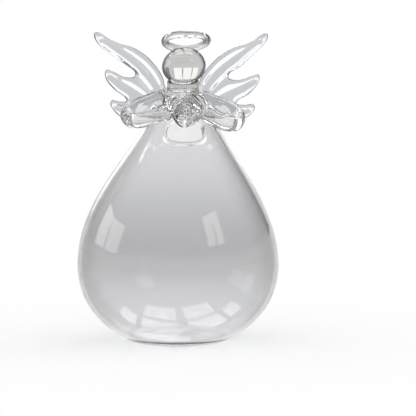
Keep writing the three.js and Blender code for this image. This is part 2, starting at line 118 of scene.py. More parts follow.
# One row for each petal: its arc in degrees, the distances of its rim from the bud at the start, middle
# and end of the arc, how much it opens, its height and the extra glass inside its foot
PETALS = (
    (20, 190, (2.15, 2.2, 2.15), 0.12, 4.3, 0.0),
    (202, 368, (2.15, 2.2, 2.15), 0.12, 4.1, 0.0),
    (-62, 70, (3.3, 3.3, 3.2), 0.08, 3.8, 0.0),
    (0, 67, (7.3, 4.8, 4.2), 0.12, 3.7, 0.3),
    (4, 80, (9.5, 10.2, 7.2), 0.2, 3.1, 2.8),
    (86, 164, (6.6, 7.6, 4.5), 0.2, 3.2, 2.8),
    (173, 279, (4.1, 3.5, 5.4), 0.16, 3.0, 0.2),
    (287, 353, (5.6, 5.8, 7.6), 0.18, 3.1, 0.6),
)

# Arms: where each elbow is, how far the forearm lies under it and the rod's half-heights
ARMS = (
    {"name": "right", "side": 1, "reach": 20.2, "elbow_drop": 9.6, "forearm_drop": 2.3,
     "upper": 2.7, "elbow": 3.1, "forearm": 2.8},
    {"name": "left", "side": -1, "reach": 21.1, "elbow_drop": 8.8, "forearm_drop": 2.0,
     "upper": 3.1, "elbow": 3.3, "forearm": 2.7},
)
WRIST_RADIUS = 1.9
ARM_DEPTH_SHARE = 0.95  # front to back, of the rod's height
ROOT_FLARE = 0.4
ELBOW_FORWARD = 9.6
ARM_ROOT_FORWARD = 1.2

# Wings
WING_HALF_THICKNESS = 1.3
WING_BACK = 5.0
WING_EDGE = 2.2  # width of the rounding along the wing's edge
WING_EDGE_POWER = 2.2  # 2 is a round edge, and more a fuller one
WING_OUTLINE = (
    (3.0, 0.4), (6.0, 1.9), (7.1, 5.2), (8.7, 8.1), (10.7, 10.6), (13.4, 13.4), (16.5, 15.6), (20.0, 17.3),
    (24.0, 18.4), (28.0, 20.0), (32.2, 22.5), (34.0, 22.5), (34.0, 20.6), (31.3, 17.0), (26.2, 13.4),
    (21.2, 10.1), (18.1, 7.6), (18.2, 6.0), (22.0, 5.9), (26.5, 7.9), (28.8, 8.6), (29.5, 7.2), (28.5, 4.2),
    (25.4, 0.9), (21.4, -2.0), (20.8, -3.3), (23.6, -3.4), (26.2, -2.9), (26.9, -4.4), (25.2, -7.3),
    (21.5, -10.0), (16.0, -11.0), (10.5, -9.5), (6.0, -5.6),
)
# Valleys pressed along the feathers: three points of a bend, then depth and width
WING_VALLEYS = (
    ((9.0, 2.6), (13.2, 12.2), (31.0, 20.0), 0.42, 1.3),
    ((12.0, 0.6), (18.0, 8.2), (30.4, 17.6), 0.4, 1.1),
    ((12.0, -2.9), (19.6, 2.2), (27.4, 6.4), 0.44, 1.3),
    ((13.0, -6.6), (18.4, -7.2), (24.8, -5.2), 0.4, 1.0),
)
WING_CELL = 0.24  # of the grid that the wing's surface is found on

# Hand-made lean: the cone and all above it drift to +X
LEAN_SLOPE = 0.045
LEAN_START = 45.0
LEAN_BLEND = 20.0

PER_METRE = 1000  # millimetres

FUSED = 0.12  # how far melted joints run into each other
JOINT_DEPTH = 0.02  # how deep inside another piece a surface counts as melted into it
JOINT_MARGIN = 0.001  # metres around a piece in which another one's points are looked at
JOINT_REACH = 0.01  # metres to the nearest surface, at most
WELD = 1e-7  # points closer than this, in metres, are one


def to_metres(points):
    """Points in millimetres, with the hand-made lean, as rows in metres."""
    points = np.array(points, float)
    above = points[:, 2] - LEAN_START
    bend = LEAN_SLOPE * above ** 2 / (2 * LEAN_BLEND)
    straight = LEAN_SLOPE * (above - LEAN_BLEND / 2)
    points[:, 0] += np.where(above <= 0, 0, np.where(above < LEAN_BLEND, bend, straight))
    return points / PER_METRE


def add_object(name, data):
    made = bpy.data.objects.new(name, data)
    bpy.context.scene.collection.objects.link(made)
    return made


def piece(node, points, faces, finish, slot):
    """A closed, smoothly shaded glass piece that stands for one solid."""
    mesh = bpy.data.meshes.new(node + "_glass")
    mesh.from_pydata(to_metres(points).tolist(), [], faces)
    form = bmesh.new()
    form.from_mesh(mesh)
    bmesh.ops.remove_doubles(form, verts=form.verts, dist=WELD)
    bmesh.ops.dissolve_degenerate(form, edges=form.edges, dist=WELD / 10)
    bmesh.ops.recalc_face_normals(form, faces=form.faces)
    form.to_mesh(mesh)
    form.free()
    mesh.shade_smooth()
    mesh.materials.append(finish)
    made = add_object(node + "_glass", mesh)
    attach(made, "root")
    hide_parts(node)
    return made


def mark_joints(pieces):
    """Gives each point how deep it lies inside another piece, in millimetres from -1 outside to 1, for
    the places where the glass is melted together."""
    sheets = []
    for made in pieces:
        points = np.array([vertex.co[:] for vertex in made.data.vertices])
        tree = BVHTree.FromPolygons(points.tolist(), [face.vertices[:] for face in made.data.polygons])
        sheets.append((made, points, tree))
    for made, points, _ in sheets:
        depth = np.full(len(points), -1.0)
        for other, others_points, tree in sheets:
            if other is made:
                continue
            low = others_points.min(axis=0) - JOINT_MARGIN
            high = others_points.max(axis=0) + JOINT_MARGIN
            for number in np.flatnonzero(np.all((points > low) & (points < high), axis=1)):
                at, normal, _, away = tree.find_nearest(points[number], JOINT_REACH)
                if at is not None:
                    side = 1 if (Vector(points[number]) - at).dot(normal) < 0 else -1
                    depth[number] = max(depth[number], side * min(away * PER_METRE, 1))
        made.data.attributes.new("joint_depth", "FLOAT", "POINT").data.foreach_set("value", depth)


# Curves

def bezier(controls, shares):
    """Points of a curve that its controls pull on, at shares from 0 to 1."""
    controls = [np.array(c, float) for c in controls]
    t = np.asarray(shares, float)[:, None]
    while len(controls) > 1:
        controls = [a * (1 - t) + b * t for a, b in zip(controls, controls[1:])]
    return controls[0]


def smooth(share, start, end):
    """From 0 at start to 1 at end, with soft ends."""
    t = np.clip((share - start) / (end - start), 0, 1)
    return t * t * (3 - 2 * t)


def catmull(points, steps, closed=False):
    """A centripetal curve through points, evenly spaced along its length."""
    points = np.array(points, float)
    if closed:
        padded = np.vstack([points[-1], points, points[:2]])
    else:
        padded = np.vstack([2 * points[0] - points[1], points, 2 * points[-1] - points[-2]])
    fine = []
    for i in range(len(padded) - 3):
        p0, p1, p2, p3 = padded[i:i + 4]
        d0, d1, d2 = (max(math.sqrt(np.linalg.norm(b - a)), 1e-6) for a, b in ((p0, p1), (p1, p2), (p2, p3)))
        m1 = ((p1 - p0) / d0 - (p2 - p0) / (d0 + d1) + (p2 - p1) / d1) * d1
        m2 = ((p2 - p1) / d1 - (p3 - p1) / (d1 + d2) + (p3 - p2) / d2) * d1
        t = np.linspace(0, 1, 40, endpoint=False)[:, None]
        fine.append(p1 + m1 * t + (3 * (p2 - p1) - 2 * m1 - m2) * t ** 2
                    + (2 * (p1 - p2) + m1 + m2) * t ** 3)
    fine.append(padded[-2][None])
    fine = np.vstack(fine)
    length = np.r_[0, np.cumsum(np.linalg.norm(np.diff(fine, axis=0), axis=1))]
    wanted = np.linspace(0, length[-1], steps + 1)
    return np.stack([np.interp(wanted, length, fine[:, k]) for k in range(fine.shape[1])], axis=1)


def unit(v):
    return v / np.linalg.norm(v, axis=-1, keepdims=True)


def rounded(share, least=0):
    """Height of a round edge at shares of the way in from it."""
    return np.sqrt(np.clip(1 - (1 - np.clip(share, 0, 1)) ** 2, least, 1))


def band(first, second):
    """Quads between two closed rings of point numbers."""
    return list(zip(first, [*first[1:], first[0]], [*second[1:], second[0]], second))


# Bulb

def bulb_outline(lower_steps, upper_steps):
    """Rows (radius, height, outward normal) of the outside, from the foot's upturn to the shoulder."""
    lowest = math.asin(((WIDEST_HEIGHT - FOOT_BLEND) / LOWER_DEPTH) ** (LOWER_POWER / 2))
    angle = lowest * (1 - np.arange(lower_steps) / lower_steps)
    out = np.cos(angle) ** (2 / LOWER_POWER)
    down = np.sin(angle) ** (2 / LOWER_POWER)
    lower = np.stack([BULB_RADIUS * out, WIDEST_HEIGHT - LOWER_DEPTH * down], axis=1)
    lower_normal = unit(np.stack([out ** (LOWER_POWER - 1) / BULB_RADIUS,
                                  -(down ** (LOWER_POWER - 1)) / LOWER_DEPTH], axis=1))
    controls = ((BULB_RADIUS, WIDEST_HEIGHT), (BULB_RADIUS, WIDEST_HEIGHT + UPPER_FULLNESS),
                (SHOULDER_RADIUS + SHOULDER_SLOPE * SHOULDER_PULL, SHOULDER_HEIGHT - SHOULDER_PULL),
                (SHOULDER_RADIUS, SHOULDER_HEIGHT))
    shares = np.linspace(0, 1, upper_steps + 1)
    upper = bezier(controls, shares)
    steps = [np.subtract(b, a) for a, b in zip(controls, controls[1:])]
    along = unit(bezier(steps, shares))
    upper_normal = np.stack([along[:, 1], -along[:, 0]], axis=1)
    return np.hstack([np.vstack([lower, upper]), np.vstack([lower_normal, upper_normal])])


FINE_OUTLINE = bulb_outline(120, 400)


def radius_at(height):
    """Outer radius of the bulb. Above the shoulder it stays at the shoulder's."""
    return np.interp(height, FINE_OUTLINE[:, 1], FINE_OUTLINE[:, 0])


def joint_height(radius):
    """Height of the bulb's domed top, which the neck is melted over."""
    return SHOULDER_HEIGHT + JOINT_DOME * (1 - (radius / SHOULDER_RADIUS) ** 2)


def mouth_frame():
    """Centre of the mouth in the middle of the wall, and the ways up along the wall and out of it."""
    height = SHOULDER_HEIGHT - MOUTH_DROP
    slope = float(radius_at(height - 0.5) - radius_at(height + 0.5))
    lift = math.atan(slope)
    centre = np.array([0, -(float(radius_at(height)) - WALL / 2), height])
    up = np.array([0, math.sin(lift), math.cos(lift)])
    out = np.array([0, -math.cos(lift), math.sin(lift)])
    return centre, up, out


def signed_power(value, power):
    return np.sign(value) * np.abs(value) ** power


def lip_oval(angle):
    """Points (across, up) of the oval that the middle of the lip follows."""
    across = (MOUTH_CLEAR_WIDTH / 2 + LIP_RADIUS) * signed_power(np.cos(angle), 2 / MOUTH_POWER)
    up = (MOUTH_CLEAR_HEIGHT / 2 + LIP_RADIUS) * signed_power(np.sin(angle), 2 / MOUTH_POWER)
    return across, up


def middle_of_wall(across, up):
    """Points on the middle of the bulb's wall, straight behind points of the mouth's plane."""
    centre, up_way, out_way = mouth_frame()
    start = centre + across[:, None] * (1, 0, 0) + up[:, None] * up_way
    inside = np.full(len(across), -BULB_RADIUS / 3)
    outside = np.full(len(across), BULB_RADIUS / 6)
    for _ in range(40):
        middle = (inside + outside) / 2
        at = start + middle[:, None] * out_way
        beyond = np.hypot(at[:, 0], at[:, 1]) > radius_at(at[:, 2]) - WALL / 2
        outside = np.where(beyond, middle, outside)
        inside = np.where(beyond, inside, middle)
    return start + inside[:, None] * out_way


def mouth_ring(corner_angles, side_steps):
    """Points of the lip's oval, as many for each side of the window round the mouth as it has steps."""
    once = 1440  # steps in one turn
    angle = np.linspace(-math.pi, 3 * math.pi, 2 * once + 1)
    across, up = lip_oval(angle)
    length = np.r_[0, np.cumsum(np.hypot(np.diff(across), np.diff(up)))]
    turn = length[once]
    at_corner = np.interp(corner_angles, angle, length)
    wanted = []
    for k, steps in enumerate(side_steps):
        start, end = at_corner[k], at_corner[(k + 1) % 4]
        if end < start:
            end += turn
        wanted.extend(start + (end - start) * i / steps for i in range(steps))
    return lip_oval(np.interp(np.array(wanted) % turn, length[:once + 1], angle[:once + 1]))


def vase_body(finish):
    """The bulb, turned but for a window around the mouth, where the wall is remade to meet the lip."""
    columns = 192
    outline = bulb_outline(56, 112)
    outer = outline[:, :2]
    inner = outer - WALL * outline[:, 2:]
    crown = SHOULDER_HEIGHT - CROWN_THICKNESS
    lined = np.flatnonzero((inner[:, 1] > FLOOR_THICKNESS + 0.5) & (inner[:, 1] < crown - DOME_HEIGHT))
    first, last = lined[0], lined[-1]
    turn = math.pi / 2 + 2 * math.pi * np.arange(columns) / columns  # column 0 is at the back
    half_window = round(WINDOW_HALF_SHARE * columns)
    left, right = columns // 2 - half_window, columns // 2 + half_window
    window_rows = np.flatnonzero((outer[:, 1] > WINDOW_HEIGHTS[0]) & (outer[:, 1] < WINDOW_HEIGHTS[1]))
    low, high = window_rows[0], window_rows[-1]
    points, faces = [], []

    def add_points(rows):
        start = len(points)
        points.extend(rows)
        return start

    def ring_rows(profile, skip):
        """A turned sheet. skip are the rows between which it leaves the window open."""
        start = add_points([(r * math.cos(a), r * math.sin(a), z) for r, z in profile for a in turn])
        for i in range(len(profile) - 1):
            for j in range(columns):
                if skip[0] <= i < skip[1] and left <= j < right:
                    continue
                k = (j + 1) % columns
                a, b = start + i * columns, start + (i + 1) * columns
                faces.append((a + j, a + k, b + k, b + j))
        return start

    def cap(ring, height):
        centre = add_points([(0, 0, height)])
        faces.extend((ring + j, ring + (j + 1) % columns, centre) for j in range(columns))

    # Outside: the foot with its drawn-in middle, the wall and the shoulder
    upturn_way = outline[0, 2] / -outline[0, 3]
    foot_edge = bezier(((FOOT_RADIUS, 0), (outer[0, 0] - FOOT_BLEND / upturn_way, 0), outer[0]),
                       np.arange(7) / 7)
    punt = [(FOOT_RADIUS * s, PUNT_HEIGHT * (1 - smooth(s, 0.1, 0.9)))
            for s in (0.08, 0.3, 0.5, 0.7, 0.85, 0.95)]
    below = [*punt, *foot_edge]
    top = [(r, joint_height(r)) for r in DOME_RADII[:0:-1]]
    shift = len(below)
    outside = ring_rows([*below, *outer, *top], (low + shift, high + shift))
    cap(outside, PUNT_HEIGHT)
    cap(outside + (shift + len(outer) + len(top) - 1) * columns, joint_height(0))

    # Inside: a smooth floor, the wall and a small dome
    floor_way = np.subtract(inner[first + 1], inner[first])
    floor_reach = inner[first, 0] * 0.35
    floor = bezier(((0.6, FLOOR_THICKNESS), (inner[first, 0] * 0.6, FLOOR_THICKNESS),
                    inner[first] - floor_way / floor_way[0] * floor_reach * 0.3, inner[first]),
                   np.arange(14) / 14)
    dome_way = np.subtract(inner[last], inner[last - 1])
    dome = bezier((inner[last], inner[last] + dome_way / dome_way[1] * DOME_HEIGHT * 0.7,
                   (inner[last, 0] * 0.5, crown), (0.3, crown)), np.arange(1, 11) / 10)
    shift_in = len(floor) - first
    hollow = ring_rows([*floor, *inner[first:last + 1], *dome], (low + shift_in, high + shift_in))
    cap(hollow, FLOOR_THICKNESS)
    cap(hollow + (len(floor) + last - first + len(dome)) * columns, crown)

    # The window's edge, once round, as rows and columns
    edge = ([(low, j) for j in range(left, right)] + [(i, right) for i in range(low, high)]
            + [(high, j) for j in range(right, left, -1)] + [(i, left) for i in range(high, low, -1)])
    side_steps = (right - left, high - low, right - left, high - low)
    centre, up_way, out_way = mouth_frame()
    corner_angles = []
    for i, j in ((low, left), (low, right), (high, right), (high, left)):
        at = np.array([outer[i, 0] * math.cos(turn[j]), outer[i, 0] * math.sin(turn[j]), outer[i, 1]])
        across = at[0] / (MOUTH_CLEAR_WIDTH / 2 + LIP_RADIUS)
        up = (at - centre) @ up_way / (MOUTH_CLEAR_HEIGHT / 2 + LIP_RADIUS)
        corner_angles.append(math.atan2(*signed_power(np.array([up, across]), MOUTH_POWER / 2)))

    # Lip: a bead whose middle runs along the wall's middle
    ring = middle_of_wall(*mouth_ring(corner_angles, side_steps))
    along = unit(np.roll(ring, -1, axis=0) - np.roll(ring, 1, axis=0))
    slope = radius_at(ring[:, 2] - 0.5) - radius_at(ring[:, 2] + 0.5)
    outward = unit(np.column_stack([unit(ring[:, :2]), slope]))
    inward = unit(np.cross(outward, along))
    if np.sum(inward * (centre - ring)) < 0:
        inward = -inward
    outward = unit(np.cross(inward, along))
    if np.sum(outward * out_way) < 0:
        outward = -outward
    meets = math.pi - math.asin(min(1, WALL / 2 / LIP_RADIUS))
    bead = [ring + LIP_RADIUS * (math.cos(a) * inward + math.sin(a) * outward)
            for a in np.linspace(meets, -meets, 17)]
    count = len(ring)
    starts = [add_points(row) for row in bead]
    bead_rings = [range(start, start + count) for start in starts]
    for a, b in zip(bead_rings, bead_rings[1:]):
        faces.extend(band(a, b))

    # The wall between the window's edge and the lip, outside and inside
    rings = 8
    around = 4  # rows beyond the window that the profile is read on
    for sheet, profile, shift_rows, target, target_ring in (
            (outside, outer, shift, bead[0], bead_rings[0]),
            (hollow, inner, shift_in, bead[-1], bead_rings[-1])):
        target_turn = np.arctan2(target[:, 1], target[:, 0]) % (2 * math.pi)
        rows = np.arange(low - around, high + around + 1)
        target_row = np.interp(target[:, 2], profile[rows, 1], rows)
        edge_row, edge_column = np.array(edge).T
        edge_turn = turn[edge_column] % (2 * math.pi)
        before = [sheet + (i + shift_rows) * columns + j for i, j in edge]
        for step in range(1, rings):
            share = step / rings
            row = edge_row * (1 - share) + target_row * share
            angle = edge_turn * (1 - share) + target_turn * share
            r = np.interp(row, rows, profile[rows, 0])
            z = np.interp(row, rows, profile[rows, 1])
            start = add_points(list(zip(r * np.cos(angle), r * np.sin(angle), z)))
            now = range(start, start + count)
            faces.extend(band(before, now))
            before = now
        faces.extend(band(before, target_ring))
    return piece("vase_body", points, faces, finish, "blown_glass")


# Turned and swept pieces

def turned(profile, columns):
    """Points and faces of a closed turned body. profile starts and ends on the axis."""
    turn = 2 * math.pi * np.arange(columns) / columns
    points = [(0, 0, profile[0][1])]
    points += [(r * math.cos(a), r * math.sin(a), z) for r, z in profile[1:-1] for a in turn]
    points.append((0, 0, profile[-1][1]))
    end = len(points) - 1
    faces = []
    for j in range(columns):
        k = (j + 1) % columns
        faces += [(0, 1 + k, 1 + j), (end, end - columns + j, end - columns + k)]
        for a in range(1, end - columns, columns):
            b = a + columns
            faces.append((a + j, a + k, b + k, b + j))
    return np.array(points), faces


def swept(centres, up_ways, side_ways, heights, widths, columns, closed=False):
    """Points and faces of a rod with oval sections. An open rod ends in a point at each end."""
    turn = 2 * math.pi * np.arange(columns) / columns
    rows = [c + np.outer(np.cos(turn), u) * h + np.outer(np.sin(turn), s) * w
            for c, u, s, h, w in zip(centres, up_ways, side_ways, heights, widths)]
    rings = [range(i * columns, (i + 1) * columns) for i in range(len(rows))]
    faces = [face for first, second in zip(rings, rings[1:]) for face in band(first, second)]
    if closed:
        return np.vstack(rows), faces + band(rings[-1], rings[0])
    tip = len(rows) * columns
    for j in range(columns):
        k = (j + 1) % columns
        faces += [(k, j, tip), (rings[-1][j], rings[-1][k], tip + 1)]
    return np.vstack([*rows, centres[0], centres[-1]]), faces


def head_ball(finish):
    """A plain ball, a little lower than it is wide."""
    rows = 72
    angles = [math.pi * i / rows for i in range(rows + 1)]
    profile = [(HEAD_RADIUS * math.sin(a), HEAD_HEIGHT - HEAD_HALF_HEIGHT * math.cos(a)) for a in angles]
    return piece("head_ball", *turned(profile, 112), finish, "solid_glass")


def neck_collar(finish):
    """Narrows from the shoulder and ends in a cup that the head rests in."""
    def under_head(radius):
        return HEAD_HEIGHT - HEAD_HALF_HEIGHT * math.sqrt(1 - (radius / HEAD_RADIUS) ** 2)

    rim = (NECK_CUP_RADIUS, under_head(NECK_CUP_RADIUS) - 0.1)
    side = bezier(((SHOULDER_RADIUS + 0.1, SHOULDER_HEIGHT - FUSED),
                   (NECK_WAIST[0], SHOULDER_HEIGHT + NECK_WAIST[1]),
                   *((radius, rim[1] - depth) for radius, depth in NECK_FLARE), rim), np.linspace(0, 1, 48))
    radii = [NECK_CUP_RADIUS - 0.15, *np.linspace(NECK_CUP_RADIUS - 0.4, NECK_SEAT_RADIUS, 14),
             *NECK_SEAT_RADIUS * np.array((0.97, 0.93, 0.88, 0.75, 0.5, 0.25, 0))]
    cup = [(r, under_head(r) - HEAD_GAP * smooth(r, NECK_SEAT_RADIUS, NECK_SEAT_RADIUS + HEAD_GAP_START)
            + FUSED * smooth(r, NECK_SEAT_RADIUS, NECK_SEAT_RADIUS * 0.9)) for r in radii]
    joint = [(r, joint_height(r) - FUSED) for r in DOME_RADII]
    return piece("neck_collar", *turned([*joint, *side, *cup], 96), finish, "solid_glass")


def halo_ring(finish):
    """A bent rod, melted to the back of the head and tilted back."""
    columns = 144
    turn = 2 * math.pi * np.arange(columns) / columns  # 90 degrees is the back, where it is melted on
    seat_back = (HEAD_RADIUS + HALO_LIFT) * math.sin(HALO_SEAT_ANGLE)
    seat_height = HEAD_HEIGHT + (HEAD_HALF_HEIGHT + HALO_LIFT) * math.cos(HALO_SEAT_ANGLE)
    back_way = np.array([0, math.cos(HALO_TILT), -math.sin(HALO_TILT)])
    normal = np.array([0, math.sin(HALO_TILT), math.cos(HALO_TILT)])
    middle = np.array([0, seat_back, seat_height]) - HALO_RADIUS * back_way
    from_seat = np.abs((turn - math.pi / 2 + math.pi) % (2 * math.pi) - math.pi)
    melt = np.exp(-(from_seat / HALO_MELT_ARC) ** 2)
    wobble = 0.12 * np.sin(2 * turn + 0.6) + 0.06 * np.sin(5 * turn)
    out_ways = np.cos(turn)[:, None] * (1, 0, 0) + np.sin(turn)[:, None] * back_way
    front = np.clip(-np.sin(turn), 0, 1)
    corner = np.where(np.sin(turn) < 0, *HALO_CORNERS) * np.sin(2 * np.abs(turn % math.pi - math.pi / 2))
    reach = HALO_RADIUS + wobble + corner - HALO_FLAT * front ** 2
    centres = middle + reach[:, None] * out_ways - (melt * HALO_MELT * 0.7)[:, None] * normal
    uneven = 0.08 * np.sin(3 * turn + 1) - 0.08 + melt * HALO_MELT
    made = swept(centres, [normal] * columns, out_ways, HALO_ROD_RADIUS + uneven, HALO_ROD_WIDTH + uneven,
                 32, closed=True)
    return piece("halo_ring", *made, finish, "solid_glass")


def outside_hollow(points):
    """Moves points that lie further in than the middle of the bulb's wall out to it."""
    reach = np.hypot(points[:, 0], points[:, 1])
    least = radius_at(points[:, 2]) - WALL / 2
    inside = (reach < least) & (points[:, 2] < SHOULDER_HEIGHT + 0.5)
    points[inside, :2] *= (least[inside] / np.maximum(reach[inside], 1e-6))[:, None]
    return points


ROSE_FRONT = float(radius_at(ROSE_HEIGHT)) + ROSE_STAND_OFF


def arm(kind, finish):
    """One rod from the shoulder out and forward to the elbow, and back in to the rose."""
    hand_reach = CALYX_RADIUS * 0.9
    hand_forward = ROSE_FRONT - CALYX_DEPTH * 0.6
    hand_height = ROSE_HEIGHT - CALYX_RADIUS * 0.2
    reach, drop, forearm = kind["reach"], kind["elbow_drop"], kind["forearm"]
    elbow = SHOULDER_HEIGHT - drop
    low = elbow - kind["forearm_drop"]
    route = np.array([
        (SHOULDER_RADIUS * 0.5, ARM_ROOT_FORWARD, SHOULDER_HEIGHT - drop * 0.16),
        (reach * 0.44, ELBOW_FORWARD * 0.28, SHOULDER_HEIGHT - drop * 0.31),
        (reach * 0.7, ELBOW_FORWARD * 0.5, SHOULDER_HEIGHT - drop * 0.52),
        (reach * 0.925, ELBOW_FORWARD * 0.76, SHOULDER_HEIGHT - drop * 0.78),
        (reach, ELBOW_FORWARD, elbow),
        (reach * 0.94, ELBOW_FORWARD * 1.3, low),
        (reach * 0.74, ELBOW_FORWARD * 0.45 + hand_forward * 0.65, low),
        (reach * 0.33 + hand_reach * 0.6, hand_forward * 0.96, (low + hand_height) / 2),
        (hand_reach, hand_forward, hand_height),
    ])
    route[:, 0] *= kind["side"]
    route[:, 1] *= -1
    steps = 150
    centres = catmull(route, steps)
    share = np.arange(steps + 1) / steps
    from_axis = np.hypot(centres[:, 0], centres[:, 1])
    root = int(np.argmax(from_axis > radius_at(centres[:, 2]) - WALL / 2))
    centres, share = centres[root:], share[root:]
    length = np.r_[0, np.cumsum(np.linalg.norm(np.diff(centres, axis=0), axis=1))]
    along = unit(np.gradient(centres, axis=0))
    up_ways = unit((0, 0, 1) - along * along[:, 2:3])
    side_ways = np.cross(along, up_ways)
    rod = (kind["upper"] + (kind["elbow"] - kind["upper"]) * smooth(share, 0.15, 0.4)
           + (forearm - kind["elbow"]) * smooth(share, 0.42, 0.62)
           + (WRIST_RADIUS - forearm) * smooth(share, 0.7, 1))
    rod = rod + ROOT_FLARE * np.exp(-length / 2.0)
    heights = rod * rounded((length[-1] - length) / WRIST_RADIUS, 0.002)
    points, faces = swept(centres, up_ways, side_ways, heights, heights * ARM_DEPTH_SHARE, 40)
    return piece("arm_" + kind["name"], outside_hollow(points), faces, finish, "solid_glass")


# Rose

def into_rose(points):
    """Puts points (across, up, towards the viewer) on the rose's place and turn."""
    across, up, forward = np.array(points, float).T
    c, s = math.cos(ROSE_TURN), math.sin(ROSE_TURN)
    facing = np.column_stack([across * c + forward * s, across * s - forward * c, up])
    return facing + (0, -ROSE_FRONT, ROSE_HEIGHT)


def rose_calyx(finish):
    """The gather that the petals stand on, with the stem that joins it to the chest."""
    cup = [(0, -CALYX_DEPTH), (CALYX_RADIUS * 0.3, -CALYX_DEPTH),
           *bezier(((CALYX_RADIUS * 0.4, -CALYX_DEPTH), (CALYX_RADIUS * 0.9, -CALYX_DEPTH * 0.7),
                    (CALYX_RADIUS, -CALYX_DEPTH * 0.1)), np.linspace(0, 1, 14)),
           (CALYX_RADIUS * 0.99, 0.25), (CALYX_RADIUS * 0.9, 0.35), (CALYX_RADIUS * 0.5, 0.3), (0, 0.3)]
    points, faces = turned(cup, 72)
    points = into_rose(points)
    start = np.array([0, -ROSE_FRONT + CALYX_DEPTH * 0.6, ROSE_HEIGHT])
    end = np.array([0, -SHOULDER_RADIUS * 0.6, ROSE_HEIGHT + ROSE_STEM_RISE])
    share = np.linspace(0, 1, 40)
    centres = start + (end - start) * share[:, None]
    reach = np.hypot(centres[:, 0], centres[:, 1])
    keep = reach > radius_at(centres[:, 2]) - WALL / 2
    centres, share = centres[keep], share[keep]
    along = unit(end - start)
    up_way = unit((0, 0, 1) - along * along[2])
    side_way = np.cross(along, up_way)
    count = len(centres)
    length = np.linalg.norm(centres - centres[-1], axis=1)
    radii = ROSE_STEM_RADIUS + 1.0 * np.exp(-length / 1.2) + 0.9 * np.exp(-(length[0] - length) / 1.2)
    stem, stem_faces = swept(centres, [up_way] * count, [side_way] * count, radii, radii, 36)
    faces += [tuple(v + len(points) for v in face) for face in stem_faces]
    return piece("rose_calyx", np.vstack([points, outside_hollow(stem)]), faces, finish, "solid_glass")


def rose_bud(finish):
    """A rolled tip with a deep hollow in its middle."""
    side = bezier(((BUD_RADIUS * 0.95, 0.1), (BUD_RADIUS * 1.1, BUD_LENGTH * 0.5),
                   (BUD_RADIUS, BUD_LENGTH - 0.4)), np.linspace(0, 1, 12))
    rim = bezier(((BUD_RADIUS, BUD_LENGTH - 0.4), (BUD_RADIUS * 0.95, BUD_LENGTH + 0.15),
                  (BUD_RADIUS * 0.4, BUD_LENGTH), (BUD_RADIUS * 0.26, BUD_LENGTH - BUD_DIMPLE * 0.4)),
                 np.linspace(0, 1, 14))[1:]
    hole = [(BUD_RADIUS * 0.25, BUD_LENGTH - BUD_DIMPLE * s) for s in (0.6, 0.8, 0.95)]
    profile = [(0, 0.1), *side, *rim, *hole, (0, BUD_LENGTH - BUD_DIMPLE)]
    points, faces = turned(profile, 48)
    return piece("rose_bud", into_rose(points + (*BUD_OFFSET, 0)), faces, finish, "solid_glass")


def rose_petal(number, petal, finish):
    """A curved plate that stands on the calyx, with melted, rounded edges."""
    start, end, rim, opening, height, root = petal
    across, along = 48, 16
    s = (1 - np.cos(np.linspace(0, math.pi, across + 1))) / 2
    q = np.sin(np.linspace(0, math.pi / 2, along + 1))

    def middle(s, q):
        angle = np.radians(start + (end - start) * s)
        rim_radius = rim[0] * (1 - s) * (1 - 2 * s) + 4 * rim[1] * s * (1 - s) + rim[2] * s * (2 * s - 1)
        radius = rim_radius * (1 - opening * (1 - q ** 1.6)) - root * 2 * s * (1 - s) * (1 - q)
        return np.stack([BUD_OFFSET[0] + radius * np.cos(angle), BUD_OFFSET[1] + radius * np.sin(angle),
                         height * q * (1 - PETAL_CORNER_DROP * (2 * s - 1) ** 4)], axis=-1)

    grid_s, grid_q = np.meshgrid(s, q, indexing="ij")
    at = middle(grid_s, grid_q)
    tiny = 1e-3
    way_s = middle(np.clip(grid_s + tiny, 0, 1), grid_q) - middle(np.clip(grid_s - tiny, 0, 1), grid_q)
    way_q = middle(grid_s, np.clip(grid_q + tiny, 0, 1)) - middle(grid_s, np.clip(grid_q - tiny, 0, 1))
    normal = unit(np.cross(way_s, way_q))
    width = np.linalg.norm(np.diff(at[:, -1], axis=0), axis=1).sum()
    half = (PETAL_THICKNESS / 2 * rounded(np.minimum(grid_s, 1 - grid_s) * width / PETAL_THICKNESS)
            * rounded((1 - grid_q) * height / PETAL_THICKNESS))
    extra = root * 2 * grid_s * (1 - grid_s) * (1 - grid_q)  # on the bud's side
    bud = np.array([*BUD_OFFSET, 0])
    if np.sum(normal * (bud - at) * (1, 1, 0), axis=-1).mean() > 0:
        normal = -normal
    sheets = [at + normal * half[..., None], at - normal * (half + extra)[..., None]]
    points = np.reshape(sheets, (-1, 3))
    columns, other_sheet = along + 1, len(points) // 2
    firsts = range(0, across * columns, columns)
    faces = [(a, a + columns, a + columns + 1, a + 1) for sheet in (0, other_sheet)
             for first in firsts for a in range(sheet + first, sheet + first + along)]
    faces += [(a, a + columns, a + columns + other_sheet, a + other_sheet) for a in firsts]
    return piece(f"rose_petal_{number}", into_rose(points), faces, finish, "solid_glass")


# Wings

def nearest(flat, path):
    """Number of the closest point of a finely sampled path, and its distance, for each flat point."""
    tree = KDTree(len(path))
    for number, (x, z) in enumerate(path):
        tree.insert((x, z, 0), number)
    tree.balance()
    found = [tree.find((x, z, 0)) for x, z in flat]
    return np.array([f[1] for f in found]), np.array([f[2] for f in found])


WING_PATH = catmull(WING_OUTLINE, 3600, closed=True)
WING_BENDS = [bezier(valley[:3], np.linspace(0, 1, 300)) for valley in WING_VALLEYS]


